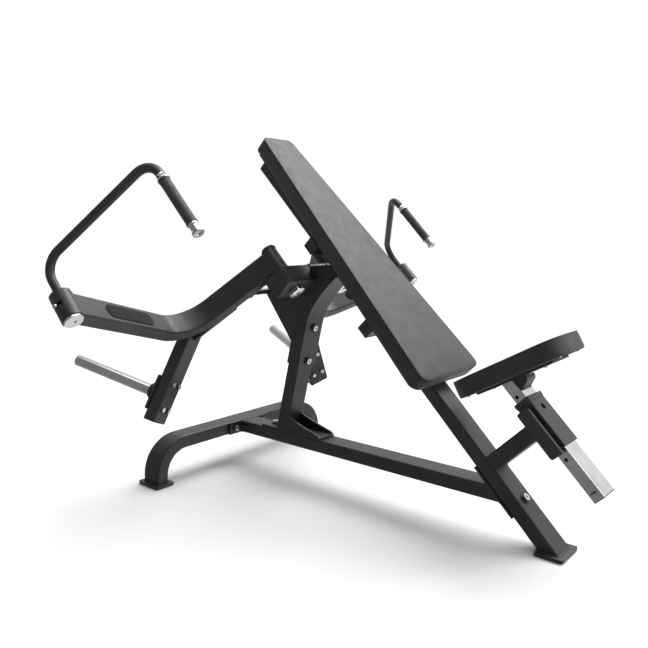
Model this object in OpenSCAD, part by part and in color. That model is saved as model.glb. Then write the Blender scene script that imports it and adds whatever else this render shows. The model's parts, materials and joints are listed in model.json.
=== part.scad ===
// Plate-loaded incline chest press with two independent press arms.
// +X is forward (the way the user faces), +Y is the user's left, +Z is up.
// The incline frame used below has its own +Z up the incline tube, +X out of the tube's
// front face and +Y sideways, with its origin where that front face meets the floor.

/* [Frame] */
// Angle of the incline tube above the floor, degrees
incline_angle = 45.5; // [42:0.5:48]
// Wide side of the rectangular frame tube
tube_w = 100; // [90:1:110]
// Narrow side of the rectangular frame tube
tube_t = 55; // [50:1:60]
// Wall thickness of the frame tube
tube_wall = 4; // [2.5:0.5:5]
// Outer corner radius of the frame tube
tube_corner = 8; // [6:1:10]
// X of the line where the incline tube's front face meets the floor
front_x = 934; // [900:0.1:1100]
// Distance from that line back to the centre of the rear cross tube
base_len = 1601.5; // [1500:0.5:1700]
// Height of the main beam's centreline
beam_height = 170; // [150:1:200]
// Sideways distance of each rear foot from the middle
foot_y = 494; // [420:1:560]
// Bend radius of the rear cross tube's legs, on its centreline
leg_bend = 130; // [100:1:140]
// Length of the incline tube from the floor
incline_len = 1935; // [1850:5:1990]

/* [Mast] */
// Distance from the front line back to the foot of the mast's front face
mast_back = 1257; // [1230:1:1290]
// Forward lean of the mast, degrees
mast_lean = 14; // [12:1:16]
// Mast tube width
mast_w = 96; // [80:1:98]
// Mast tube depth
mast_d = 60; // [50:1:66]

/* [Pivots] */
// Distance of each arm pivot behind the incline tube's front face
pivot_n = 192; // [185:1:200]
// Sideways distance of each arm pivot from the middle
pivot_y = 149; // [145:1:160]
// Radius of the pivot shafts
shaft_r = 17.5; // [15:0.5:20]
// Running clearance of shafts in their bushes, radial
running_gap = 0.05; // [0.02:0.01:0.1]

/* [Press arms] */
// Height of the arms' middle plane up the incline
arm_s = 1532; // [1500:1:1560]
// Sideways distance of the handle swivel axis from the middle
swivel_y = 1014; // [950:1:1080]
// Distance of the handle swivel axis behind the incline tube's front face
swivel_n = 370; // [340:1:400]
// Bend radius of the arm tube, on its centreline
arm_bend = 180; // [140:1:200]
// Angle of the arm's outer stretch below the sideways direction, degrees
outer_fall = 21.9; // [18:0.1:25]
// Angle of the arm's inner stretch above the sideways direction, degrees
inner_rise = 60.6; // [57:0.1:64]

/* [Handles] */
// Handle bar radius
bar_r = 16; // [14:0.5:18]
// Length of the handle bar's long side, between its corners
bar_len = 530; // [480:5:560]
// Rubber grip radius
grip_r = 18.7; // [17:0.1:20]
// Inward lean of the right handle as it stands, degrees
right_lean = 22; // [12:1:52]
// Inward lean of the left handle as it stands, degrees
left_lean = 42; // [12:1:52]

/* [Weight horns] */
// Weight horn radius, for plates with a 50 mm bore
horn_r = 25; // [24:0.5:25]
// Length of the weight horn outside its rubber stop
horn_len = 392; // [320:2:420]
// Tilt of the weight strut out of the arm's plane, degrees
strut_tilt = 55.7; // [50:0.1:60]

/* [Backrest and seat] */
// Height of the backrest's lower edge up the incline
rest_low = 722; // [700:1:760]
// Length of the backrest
rest_len = 1267; // [1200:1:1300]
// Width of the backrest at its lower edge
rest_wide = 400; // [340:5:420]
// Width of the backrest at its upper edge
rest_narrow = 170; // [150:5:220]
// Thickness of the backrest cushion
rest_thick = 64; // [50:1:70]
// Seat cushion length
seat_len = 405; // [380:5:460]
// Seat cushion width at the back
seat_wide = 340; // [300:5:380]
// Seat cushion width at the front
seat_narrow = 250; // [220:5:300]
// Seat cushion thickness
seat_thick = 62; // [50:1:70]
// Rise of the seat towards its front, degrees
seat_rise = 29.5; // [20:0.5:35]

/* [Hidden] */
$fn = 48;
eps = 0.01;
plate = 10;             // foot plate thickness
foot_pad = 4;           // rubber under the foot plates
floor_plate_top = foot_pad + plate;
rear_x = front_x - base_len;
beam_top = beam_height + tube_t / 2;
mast_x = front_x - mast_back;
frame_black = "#2c2d2f";
pad_grey = "#4a4b4d";
chrome = "#d4d6d8";
rubber_black = "#1b1b1c";

// Arm centreline in the incline frame's (n, y) plane, drawn for the right arm
u_in = [-sin(inner_rise), -cos(inner_rise)];
u_out = [sin(outer_fall), -cos(outer_fall)];
hub = [-pivot_n, -pivot_y];
swivel = [-swivel_n, -swivel_y];
turn = inner_rise + outer_fall;
cross_uv = u_in[0] * u_out[1] - u_in[1] * u_out[0];
to_swivel = swivel - hub;
corner_in = (to_swivel[0] * u_out[1] - to_swivel[1] * u_out[0]) / cross_uv;
bend_point = hub + u_in * corner_in;
tangent = arm_bend * tan(turn / 2);
bend_lap = 0.6;
bend_slim = 0.1;
inner_len = corner_in - tangent;
outer_len = norm(swivel - bend_point) - tangent;
a_start = atan2(u_in[1], u_in[0]);
a_outward = atan2(-u_out[1], -u_out[0]);
bend_centre = hub + u_in * inner_len + arm_bend * [-sin(a_start), cos(a_start)];

hub_r = 31;
hub_len = 108;
hub_bore_r = 24;
doubler_from = 254;
doubler_len = 225;
doubler_t = 15;
carrier_w = 108;        // pivot crossbar, along n
carrier_n = 186;
carrier_d = 84;         // pivot crossbar, up the incline
carrier_s = 1414;       // pivot crossbar's middle, up the incline
carrier_half = pivot_y + 80;
shaft_low = carrier_s - carrier_d / 2 - 8;
shaft_high = arm_s + hub_len / 2 + 14;
washer_t = 3;
hub_underside = arm_s - hub_len / 2 - washer_t;

sleeve_r = 38;
sleeve_len = 109;
sleeve_bore_r = 21;
rod_top = 191;          // handle corner above the swivel sleeve's middle
corner_bend = 74;       // radius of the handle's lower corner
top_bend = 68;          // radius of the handle's grip corner
grip_from = 97;
grip_to = 292;
lean_least = 12;        // handle's range of lean
lean_most = 52;
screw_angle = 255;      // the stop screw's direction ahead of the handle's lean
screw_s = 4.5;
slot_margin = 12;
bar_wall = 4;

strut_turn = 147.6;
strut_root = [-829.7, -472.5, 1369];
strut_down = 115;
strut_up = 285;
horn_from = 70;
horn_root_r = 23.5;     // where the rubber stop sits
horn_plate_t = 10;
horn_bolt_y = 24.5;
horn_bolt_z = 55.3;

head_t = 6;
board_t = 12;
stop_s = 1518;          // arm stop bar, up the incline
stop_n = 372;
stop_bar_r = 12;
stop_reach = 205;
buffer_h = 26;
stop_along = (stop_n - (tube_t / 2 + buffer_h) * cos(inner_rise) - pivot_n) / sin(inner_rise);

post_w = 94;
post_d = 44;
post_n = 222;           // back face of the seat post
post_low = 100;
post_high = 640;        // before it is cut along the seat's mounting plate
carriage_low = 290;
carriage_high = 470;
carriage_gap = 1.5;
carriage_wall = 6;
pin_r = 6;
hole_low = 254;
hole_pitch = 28;
pin_low = 282;
pin_high = pin_low + 4 * hole_pitch;
pin_n = 240;
seat_plate_t = 8;
gusset_w = 70;
lever_in = 72;          // inner face of the release plate, from the middle
lever_t = 14;
lever_low = 276;
lever_high = 457;
// Middle of the seat's back edge, where the board meets the cushion
seat_back_n = 102;
seat_back_s = 611;

// ---------- shared shapes ----------

module rounded(a, b, r) {
    square([a - 2 * r, b], center = true);
    square([a, b - 2 * r], center = true);
    for (x = [-1, 1], y = [-1, 1])
        translate([x * (a / 2 - r), y * (b / 2 - r)]) circle(r);
}

module tube_ring(a = tube_w, b = tube_t, r = tube_corner, wall = tube_wall) {
    difference() {
        rounded(a, b, r);
        rounded(a - 2 * wall, b - 2 * wall, r - wall);
    }
}

module incline_frame() {
    translate([front_x, 0, 0]) rotate([0, incline_angle - 90, 0]) children();
}

module mast_frame() {
    translate([mast_x, 0, beam_top]) rotate([0, mast_lean, 0]) children();
}

module strut_frame() {
    translate(strut_root) rotate([0, -strut_tilt, -strut_turn]) children();
}

// Everything of an arm is drawn for the right side; the left side is its mirror image
module on_side(side) {
    if (side == "left") mirror([0, 1, 0]) incline_frame() children();
    else incline_frame() children();
}

function lean_of(side) = side == "left" ? left_lean : right_lean;

// Handle frame: +Z up the swivel axis, +X the way the handle bar leans, origin mid-sleeve
module handle_frame(side) {
    on_side(side)
        translate([swivel[0], swivel[1], arm_s]) rotate([0, 0, lean_of(side)]) children();
}

module washer(r_out, r_in, t) {
    difference() {
        cylinder(r = r_out, h = t);
        translate([0, 0, -1]) cylinder(r = r_in, h = t + 2);
    }
}

// ---------- base frame ----------

module below_floor_plates() {
    translate([-3000, -1000, -500]) cube([6000, 2000, 500 + floor_plate_top]);
}

beam_from = rear_x + tube_w / 2 + plate;
flange_t = 7;
flange_front_n = -tube_t - flange_t;

module beam_end_cut() {
    incline_frame() translate([flange_front_n, -200, 0]) cube([400, 400, 700]);
}

module main_beam() {
    color(frame_black) difference() {
        translate([beam_from, 0, beam_height]) rotate([90, 0, 90])
            linear_extrude(base_len - tube_w / 2 - plate) tube_ring(tube_w, tube_t);
        beam_end_cut();
        for (x = mast_bolt_x) translate([x, 0, beam_height])
            cylinder(r = 8.5, h = 100);
    }
}

mast_bolt_x = [mast_x - 108, mast_x + 51];
rear_bolt_y = 84;
front_flange_s = [199, 411];
front_bolt_s = 230;

module beam_flanges() {
    color(frame_black) {
        difference() {
            translate([rear_x + tube_w / 2, -120, beam_height - 27]) cube([plate, 240, 54]);
            for (y = [-1, 1]) translate([rear_x, y * rear_bolt_y, beam_height])
                rotate([0, 90, 0]) cylinder(r = 8.5, h = 200);
        }
        incline_frame() difference() {
            translate([flange_front_n, -52, front_flange_s[0]])
                cube([flange_t, 104, front_flange_s[1] - front_flange_s[0]]);
            for (s = front_bolts()) translate([flange_front_n - 1, 0, s])
                rotate([0, 90, 0]) cylinder(r = 8.5, h = 20);
        }
        // Triangular webs between the beam and the rear flange
        for (side = [-1, 1]) translate([beam_from, 0, beam_height - 4])
            linear_extrude(8) polygon([[0, side * 51], [0, side * 64], [62, side * 50.2],
                [62, side * 50]]);
    }
}

function front_bolts() = [front_bolt_s, front_flange_s[1] - 31];

module rear_leg(side) {
    mirror([0, side < 0 ? 1 : 0, 0])
    translate([rear_x, foot_y - leg_bend, beam_height - leg_bend]) {
        rotate([90, 0, 90]) rotate_extrude(angle = 90)
            translate([leg_bend, 0]) tube_ring(tube_t, tube_w);
        translate([0, leg_bend, floor_plate_top - beam_height + leg_bend])
            linear_extrude(beam_height - leg_bend - floor_plate_top) tube_ring(tube_w, tube_t);
    }
}

module rear_cross_tube() {
    straight = 2 * (foot_y - leg_bend);
    color(frame_black) difference() {
        union() {
            translate([rear_x, straight / 2, beam_height]) rotate([90, 0, 0])
                linear_extrude(straight) tube_ring(tube_w, tube_t);
            for (side = [-1, 1]) rear_leg(side);
        }
        for (y = [-1, 1]) translate([rear_x, y * rear_bolt_y, beam_height])
            rotate([0, 90, 0]) cylinder(r = 8.5, h = 100);
    }
}

front_foot_x = front_x - 45;

module foot_plates() {
    color(frame_black) {
        for (side = [-1, 1]) translate([rear_x, side * foot_y, foot_pad])
            linear_extrude(plate) rounded(132, 92, 10);
        translate([front_foot_x, 0, foot_pad]) linear_extrude(plate) rounded(104, 140, 10);
    }
}

module foot_pads() {
    color(rubber_black) {
        for (side = [-1, 1]) translate([rear_x, side * foot_y, 0])
            linear_extrude(foot_pad) rounded(126, 86, 8);
        translate([front_foot_x, 0, 0]) linear_extrude(foot_pad) rounded(98, 134, 8);
    }
}

module incline_tube() {
    color(frame_black) difference() {
        incline_frame() translate([-tube_t / 2, 0, -100])
            linear_extrude(incline_len + 100) tube_ring(tube_t, tube_w);
        below_floor_plates();
        incline_frame() for (s = front_bolts()) translate([-100, 0, s])
            rotate([0, 90, 0]) cylinder(r = 8.5, h = 200);
    }
}

module incline_cap() {
    color(rubber_black) incline_frame() translate([-tube_t / 2, 0, incline_len]) {
        linear_extrude(4) rounded(tube_t - 2, tube_w - 2, 7);
        translate([0, 0, -18]) linear_extrude(18 + eps)
            rounded(tube_t - 2 * tube_wall - 0.6, tube_w - 2 * tube_wall - 0.6, 3.6);
    }
}

// ---------- mast ----------

mast_top = 545;

module mast() {
    color(frame_black) difference() {
        mast_frame() translate([-mast_d / 2, 0, -60])
            linear_extrude(mast_top + 60) tube_ring(mast_d, mast_w, 8, 4);
        translate([mast_x - 300, -200, beam_top + plate - 500]) cube([600, 400, 500]);
        mast_frame() for (z = head_bolts) translate([-100, 0, z])
            rotate([0, 90, 0]) cylinder(r = 8.5, h = 200);
    }
}

head_bolts = [337, 490];

base_front = 200;       // reach of the base bracket in front of the mast
base_back = 150;
gusset_t = 8;

module mast_base() {
    color(frame_black) {
        difference() {
            translate([mast_x + (base_front - base_back) / 2, 0, beam_top])
                linear_extrude(plate) rounded(base_front + base_back, 98, 6);
            for (x = mast_bolt_x) translate([x, 0, beam_top - 1]) cylinder(r = 8.5, h = 20);
        }
        for (side = [-1, 1])
            translate([mast_x, side * (mast_w / 2 - 5) + gusset_t / 2, beam_top + plate])
                rotate([90, 0, 0]) linear_extrude(gusset_t)
                polygon([[4, 0], [base_front - 6, 0], [base_front - 12, 7], [90, 34],
                    [18.2, 60], [17, 56]]);
    }
}

// Side view of the head: its upper edge along the arms, in the incline frame (n, s)
head_top_edge = [[-tube_t, 1323], [-tube_t, 1380], [-227, 1520], [-352, 1534], [-392, 1545],
    [-404, 1540]];
head_skin = 7;          // front plate of the head
plate_gap = 0.02;       // between a tube and a plate welded along it

function incline_to_xz(p) = [front_x + p[0] * sin(incline_angle) - p[1] * cos(incline_angle),
    p[0] * cos(incline_angle) + p[1] * sin(incline_angle)];
function mast_to_xz(p) = [mast_x + p[0] * cos(mast_lean) + p[1] * sin(mast_lean),
    beam_top - p[0] * sin(mast_lean) + p[1] * cos(mast_lean)];
// Point at a fraction t of a quadratic curve from a to c that bends towards b
function curve_point(a, b, c, t) = (1 - t) * (1 - t) * a + 2 * t * (1 - t) * b + t * t * c;

head_low = 312;         // lower end of the head, up the mast
skin_bend_from = 514;   // where the front plate leaves the mast
skin_knee = mast_to_xz([0, 610]);
skin_end = incline_to_xz([-tube_t, 1323]);

function skin_line(offset) = concat(
    [mast_to_xz([offset, head_low]), mast_to_xz([offset, skin_bend_from])],
    [for (i = [1 : 8]) curve_point(mast_to_xz([offset, skin_bend_from]),
        skin_knee + [offset, -offset], skin_end + [0, -1.4 * offset], i / 8)]);

module head_side() {
    polygon(concat([for (p = head_top_edge) incline_to_xz(p)],
        [mast_to_xz([-mast_d, 412]), mast_to_xz([-mast_d, head_low])], skin_line(plate_gap)));
}

module head_front() {
    outer = skin_line(head_skin);
    inner = skin_line(plate_gap);
    polygon(concat(inner, [for (i = [len(outer) - 1 : -1 : 0]) outer[i]]));
}

head_y = mast_w / 2 + (head_t + plate_gap) / 2;

module mast_head() {
    color(frame_black) difference() {
        union() {
            for (side = [-1, 1]) translate([0, side * head_y, 0]) rotate([90, 0, 0])
                linear_extrude(head_t - plate_gap, center = true) head_side();
            rotate([90, 0, 0]) linear_extrude(mast_w + 2 * head_t, center = true)
                head_front();
        }
        incline_frame() translate([-carrier_n, 0, carrier_s])
            cube([carrier_w, 400, carrier_d], center = true);
        mast_frame() for (z = head_bolts) translate([-200, 0, z])
            rotate([0, 90, 0]) cylinder(r = 8.5, h = 400);
        incline_frame() translate([-stop_n, 0, stop_s]) rotate([90, 0, 0])
            cylinder(r = stop_bar_r, h = 300, center = true);
        incline_frame() translate([-tube_t, -200, 0]) cube([400, 400, 2000]);
    }
}

module pivot_crossbar() {
    color(frame_black) incline_frame() difference() {
        union() {
            translate([-carrier_n, carrier_half, carrier_s]) rotate([90, 0, 0])
                linear_extrude(2 * carrier_half) tube_ring(carrier_w, carrier_d, 6, 5);
            for (side = [-1, 1]) {
                translate([-carrier_n, side * (carrier_half - 3), carrier_s])
                    rotate([90, 0, 0]) linear_extrude(6, center = true)
                    rounded(carrier_w - 8, carrier_d - 8, 2);
                translate([-pivot_n, side * pivot_y, carrier_s - carrier_d / 2])
                    cylinder(r = 26, h = hub_underside - 0.4 - carrier_s + carrier_d / 2);
            }
        }
        for (side = [-1, 1]) translate([-pivot_n, side * pivot_y, carrier_s])
            cylinder(r = shaft_r, h = 200, center = true);
    }
}

// Round bar through the head plates; each end carries a rubber buffer for the arm at rest.
// Buffer frame: +Y points from the arm's inner face towards the middle of the machine.
module buffer_frame() {
    translate([hub[0], hub[1], stop_s]) rotate([0, 0, a_start])
        translate([stop_along, -tube_t / 2 - 0.25, 0]) rotate([0, 0, 180]) children();
}

module stop_bar() {
    color(frame_black) incline_frame() {
        difference() {
            translate([-stop_n, 0, stop_s]) rotate([90, 0, 0])
                cylinder(r = stop_bar_r, h = 2 * stop_reach, center = true);
            for (side = [-1, 1]) mirror([0, side > 0 ? 1 : 0, 0]) buffer_frame()
                translate([-100, -100, -100]) cube([200, 100 + buffer_h, 200]);
        }
        for (side = [-1, 1]) mirror([0, side > 0 ? 1 : 0, 0]) buffer_frame()
            translate([0, buffer_h, 0]) rotate([-90, 0, 0]) cylinder(r = 23, h = 5);
    }
}

module arm_buffers() {
    color(rubber_black) incline_frame() for (side = [-1, 1])
        mirror([0, side > 0 ? 1 : 0, 0]) buffer_frame() rotate([-90, 0, 0])
            rotate_extrude() polygon([[0, 0], [15, 0], [19, 3], [21, 8], [21, buffer_h],
                [0, buffer_h]]);
}

// ---------- pivots and press arms ----------

module pivot_shaft(side) {
    color(chrome) on_side(side) translate([hub[0], hub[1], shaft_low])
        cylinder(r = shaft_r, h = shaft_high - shaft_low);
}

module pivot_caps(side) {
    color(chrome) on_side(side) translate([hub[0], hub[1], 0]) {
        translate([0, 0, shaft_low - 9]) difference() {
            cylinder(r = 32, h = 9);
            translate([0, 0, -1]) cylinder(r = 11, h = 4);
        }
        translate([0, 0, shaft_low]) washer(34, shaft_r, 8);
        translate([0, 0, arm_s + hub_len / 2 + 3.5]) washer(28, shaft_r, 8);
    }
}

// The arm's centreline solid with a given section, from a start distance past the hub axis.
// Both straight stretches lap a little into the bend, which is drawn a hair slimmer.
module arm_path(a, b, r, start = 0) {
    translate([hub[0], hub[1], arm_s]) rotate([0, 0, a_start]) translate([start, 0, 0])
        rotate([0, 90, 0]) linear_extrude(inner_len + bend_lap - start) rounded(b, a, r);
    translate([bend_centre[0], bend_centre[1], arm_s]) rotate([0, 0, a_start - 90])
        rotate_extrude(angle = turn) translate([arm_bend, 0])
        rounded(a - bend_slim, b - bend_slim, r);
    translate([swivel[0], swivel[1], arm_s]) rotate([0, 0, a_outward])
        rotate([0, 90, 0]) linear_extrude(outer_len + bend_lap) rounded(b, a, r);
}

module strut_body(a, b, r, down, up) {
    strut_frame() translate([0, 0, -down]) linear_extrude(down + up) rounded(a, b, r);
}

module press_arm(side) {
    inner_t = tube_t - 2 * tube_wall;
    inner_w = tube_w - 2 * tube_wall;
    inner_corner = tube_corner - tube_wall;
    color(frame_black) on_side(side) difference() {
        union() {
            arm_path(tube_t, tube_w, tube_corner);
            difference() {
                strut_body(tube_t, tube_w, tube_corner, strut_down, strut_up);
                strut_body(inner_t, inner_w, inner_corner, strut_down - 5, strut_up - 5);
            }
            translate([hub[0], hub[1], arm_s]) cylinder(r = hub_r, h = hub_len, center = true);
            // Doubler along the inner face, down to the weight strut
            translate([hub[0], hub[1], arm_s]) rotate([0, 0, a_start])
                translate([doubler_from, -tube_t / 2 - doubler_t, -tube_w / 2 + 4])
                cube([doubler_len, doubler_t + 1, tube_w - 8]);
        }
        arm_path(inner_t, inner_w, inner_corner, hub_r - 2);
        translate([hub[0], hub[1], arm_s]) cylinder(r = hub_bore_r, h = 400, center = true);
        translate([swivel[0], swivel[1], arm_s]) cylinder(r = sleeve_r, h = 400, center = true);
        strut_frame() for (y = [-1, 1], z = [-1, 1])
            translate([-60, y * horn_bolt_y, z * horn_bolt_z]) rotate([0, 90, 0])
                cylinder(r = 6.5, h = 120);
    }
}

module hub_bushes(side) {
    color("#b08a4a") on_side(side) translate([hub[0], hub[1], arm_s])
        for (end = [-1, 1]) mirror([0, 0, end > 0 ? 0 : 1]) {
            translate([0, 0, hub_len / 2 - 30]) washer(hub_bore_r, shaft_r + running_gap, 30);
            translate([0, 0, hub_len / 2]) washer(34, shaft_r + running_gap, washer_t);
        }
}

module swivel_sleeve(side) {
    color(frame_black) on_side(side) translate([swivel[0], swivel[1], arm_s]) difference() {
        cylinder(r = sleeve_r, h = sleeve_len, center = true);
        cylinder(r = sleeve_bore_r, h = sleeve_len + 2, center = true);
        // Slot that lets the stop screw travel with the handle
        rotate([0, 0, screw_angle + lean_least - slot_margin])
            rotate_extrude(angle = lean_most - lean_least + 2 * slot_margin)
            translate([sleeve_bore_r - 1, screw_s - 6.5]) square([20, 13]);
    }
}

module swivel_liners(side) {
    color("#e5e2d8") on_side(side) translate([swivel[0], swivel[1], arm_s])
        for (end = [-1, 1]) translate([0, 0, end * (sleeve_len / 2 - 18) - 18])
            washer(sleeve_bore_r, bar_r + running_gap, 36);
}

// ---------- weight horns ----------

module horn_mount(side) {
    color(frame_black) on_side(side) strut_frame() difference() {
        translate([tube_t / 2, 0, 0]) rotate([90, 0, 90]) linear_extrude(horn_plate_t)
            rounded(108, 150, 8);
        for (y = [-1, 1], z = [-1, 1]) translate([0, y * horn_bolt_y, z * horn_bolt_z])
            rotate([0, 90, 0]) cylinder(r = 6.5, h = 120);
    }
}

module horn_stop(side) {
    color(rubber_black) on_side(side) strut_frame()
        translate([tube_t / 2 + horn_plate_t, 0, 0]) rotate([0, 90, 0]) rotate_extrude()
            polygon([[horn_root_r, 0], [38, 0], [38, 14], [34, 28], [29, 32.5],
                [horn_root_r, 32.5]]);
}

module weight_horn(side) {
    color(chrome) on_side(side) strut_frame() rotate([0, 90, 0]) rotate_extrude()
        polygon([[horn_r - 5, tube_t / 2 + horn_plate_t], [horn_root_r, tube_t / 2 + horn_plate_t],
            [horn_root_r, horn_from], [horn_r, horn_from], [horn_r, horn_from + horn_len],
            [horn_r - 5, horn_from + horn_len]]);
}

module horn_plug(side) {
    color(rubber_black) on_side(side) strut_frame()
        translate([horn_from + horn_len, 0, 0]) rotate([0, 90, 0]) rotate_extrude()
            polygon([[0, -15], [horn_r - 5.2, -15], [horn_r - 5.2, 0], [horn_r - 0.8, 0],
                [horn_r - 0.8, 3], [horn_r - 3, 5], [0, 5]]);
}

module horn_bolts(side) {
    color(chrome) on_side(side) strut_frame()
        for (y = [-1, 1], z = [-1, 1]) translate([0, y * horn_bolt_y, z * horn_bolt_z]) {
            translate([-tube_t / 2, 0, 0]) rotate([0, -90, 0]) {
                washer(12, 6, 2);
                translate([0, 0, 2]) cylinder(r = 10, h = 8);
            }
            translate([-tube_t / 2 - 3, 0, 0]) rotate([0, 90, 0]) cylinder(r = 6, h = 78);
            translate([tube_t / 2 + horn_plate_t, 0, 0]) rotate([0, 90, 0])
                cylinder(r = 10, h = 9, $fn = 6);
        }
}

// ---------- handles ----------

// Handle bar's solid with a given radius, run past both ends by a margin
module bar_path(r, past = 0) {
    long_to = bar_len - top_bend;
    translate([0, 0, -sleeve_len / 2 - 2 - past])
        cylinder(r = r, h = sleeve_len / 2 + 2 + past + rod_top - corner_bend);
    translate([corner_bend, 0, rod_top - corner_bend]) rotate([90, 0, 180])
        rotate_extrude(angle = 90) translate([corner_bend, 0]) circle(r);
    translate([corner_bend, 0, rod_top]) rotate([0, 90, 0])
        cylinder(r = r, h = long_to - corner_bend);
    translate([long_to, 0, rod_top - top_bend]) rotate([90, 0, 0])
        rotate_extrude(angle = 90) translate([top_bend, 0]) circle(r);
    translate([bar_len, 0, rod_top - grip_to - past])
        cylinder(r = r, h = grip_to - top_bend + past);
}

module handle_bar(side) {
    color(frame_black) handle_frame(side) difference() {
        union() {
            bar_path(bar_r);
            // Collar that closes the top of the grip
            translate([bar_len, 0, rod_top - grip_from]) cylinder(r = 20.5, h = 5);
        }
        bar_path(bar_r - bar_wall, 1);
    }
}

module grip(side) {
    color(rubber_black) handle_frame(side) translate([bar_len, 0, rod_top - grip_to])
        washer(grip_r, bar_r, grip_to - grip_from);
}

module grip_cap(side) {
    color(chrome) handle_frame(side) translate([bar_len, 0, rod_top - grip_to])
        rotate([180, 0, 0]) rotate_extrude() polygon([[0, 0], [17.5, 0], [17.5, 6], [16, 10],
            [16, 26], [20.5, 33], [20.5, 39], [18.5, 41], [9, 41], [9, 38], [0, 38]]);
}

module swivel_cap(side) {
    color(chrome) handle_frame(side) translate([0, 0, -sleeve_len / 2 - 2])
        rotate([180, 0, 0]) difference() {
            rotate_extrude() polygon([[0, 0], [34, 0], [34, 5], [32, 7], [0, 7]]);
            translate([0, 0, 4]) cylinder(r = 9, h = 5);
        }
}

module swivel_screw(side) {
    color(chrome) on_side(side) translate([swivel[0], swivel[1], arm_s])
        rotate([0, 0, screw_angle + lean_of(side)]) translate([0, 0, screw_s])
            rotate([0, 90, 0]) {
                translate([0, 0, bar_r]) cylinder(r = 4, h = sleeve_r - bar_r + 1);
                translate([0, 0, sleeve_r + 0.6]) difference() {
                    cylinder(r = 8.5, h = 6.5);
                    translate([0, 0, 2.5]) cylinder(r = 4, h = 5, $fn = 6);
                }
            }
}

// ---------- backrest ----------

rail_s = [1035, 1459];
rail_half = [150, 120];

module backrest_rails() {
    color(frame_black) incline_frame() for (i = [0, 1], side = [-1, 1])
        translate([-26, side * tube_w / 2, rail_s[i]]) rotate([-90 * side, 0, 0])
            linear_extrude(rail_half[i] - tube_w / 2) tube_ring(52, 52, 5, 3);
}

// Backrest outline with round corners, shrunk by an even margin
module rest_outline(margin) {
    low = rest_low + margin;
    high = rest_low + rest_len - margin;
    slope = (rest_wide - rest_narrow) / 2 / rest_len;
    function half(s) = rest_wide / 2 - (s - rest_low) * slope - margin;
    r = 34 - margin / 2;
    r_top = 22 - margin / 2;
    hull() {
        for (side = [-1, 1]) {
            translate([low + r, side * (half(low + r) - r)]) circle(r, $fn = 32);
            translate([high - r_top, side * (half(high - r_top) - r_top)])
                circle(r_top, $fn = 32);
        }
    }
}

module rest_slab(from, to, margin) {
    incline_frame() translate([from, 0, 0]) rotate([0, -90, 0]) mirror([0, 0, 1])
        linear_extrude(to - from) rest_outline(margin);
}

module backrest_board() {
    color(rubber_black) rest_slab(0.2, board_t - 1, 16);
}

module backrest_pad() {
    color(pad_grey) rest_slab(board_t, board_t + rest_thick, 0);
}

// ---------- seat ----------

module seat_support() {
    color(frame_black) difference() {
        incline_frame() translate([0, 0, 386]) rotate([0, 90, 0])
            linear_extrude(post_n - carriage_gap - carriage_wall) tube_ring(58, tube_w, 8, 4);
    }
}

module seat_carriage() {
    inner_w = post_w + 2 * carriage_gap;
    inner_d = post_d + 2 * carriage_gap;
    color(frame_black) incline_frame() difference() {
        translate([post_n + post_d / 2, 0, 0]) union() {
            translate([0, 0, carriage_low]) linear_extrude(carriage_high - carriage_low)
                rounded(inner_d + 2 * carriage_wall, inner_w + 2 * carriage_wall, 4);
            translate([0, 0, carriage_high]) linear_extrude(18)
                rounded(inner_d + 2 * carriage_wall + 4, inner_w + 2 * carriage_wall + 4, 5);
        }
        translate([post_n + post_d / 2, 0, 0]) linear_extrude(2000)
            square([inner_d, inner_w], center = true);
        // Sight hole in the front wall and guide holes for the release pins
        translate([post_n + post_d, 0, 436]) rotate([0, 90, 0]) cylinder(r = 11, h = 60);
        for (s = [pin_low, pin_high]) translate([pin_n, 0, s]) rotate([90, 0, 0])
            cylinder(r = pin_r + running_gap, h = 100);
    }
}

module carriage_liner() {
    color("#e5e2d8") incline_frame() difference() {
        translate([post_n + post_d / 2, 0, 0]) for (s = [carriage_low, carriage_high - 20])
            translate([0, 0, s]) linear_extrude(20) difference() {
                square([post_d + 2 * carriage_gap - 0.1, post_w + 2 * carriage_gap - 0.1],
                    center = true);
                square([post_d + 0.4, post_w + 0.4], center = true);
            }
        for (s = [pin_low, pin_high]) translate([pin_n, 0, s]) rotate([90, 0, 0])
            cylinder(r = pin_r + 1, h = 100);
    }
}

// Everything above the underside of the seat's mounting plate
module above_seat_plate() {
    seat_frame() translate([-300, -300, -seat_plate_t]) cube([1000, 600, 600]);
}

module seat_post() {
    color(chrome) difference() {
        incline_frame() translate([post_n + post_d / 2, 0, post_low])
            linear_extrude(post_high - post_low) tube_ring(post_d, post_w, 4, 3);
        above_seat_plate();
        // Row of holes for the release pins
        incline_frame() for (i = [0 : 9]) translate([pin_n, 0, hole_low + i * hole_pitch])
            rotate([90, 0, 0]) cylinder(r = pin_r + 0.5, h = 100);
    }
}

module seat_post_plug() {
    color(rubber_black) incline_frame() translate([post_n + post_d / 2, 0, post_low]) {
        translate([0, 0, -3]) linear_extrude(3) rounded(post_d - 1, post_w - 1, 3.5);
        linear_extrude(15) rounded(post_d - 6.6, post_w - 6.6, 1);
    }
}

module seat_frame() {
    incline_frame() translate([seat_back_n, 0, seat_back_s])
        rotate([0, 90 - incline_angle, 0]) rotate([0, -seat_rise, 0]) children();
}

module seat_outline(margin) {
    r_back = 60 - margin / 2;
    r_front = 88 - margin / 2;
    hull() for (side = [-1, 1]) {
        translate([r_back + margin, side * (seat_wide / 2 - margin - r_back)])
            circle(r_back, $fn = 32);
        translate([seat_len - margin - r_front, side * (seat_narrow / 2 - margin - r_front)])
            circle(r_front, $fn = 32);
    }
}

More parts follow.
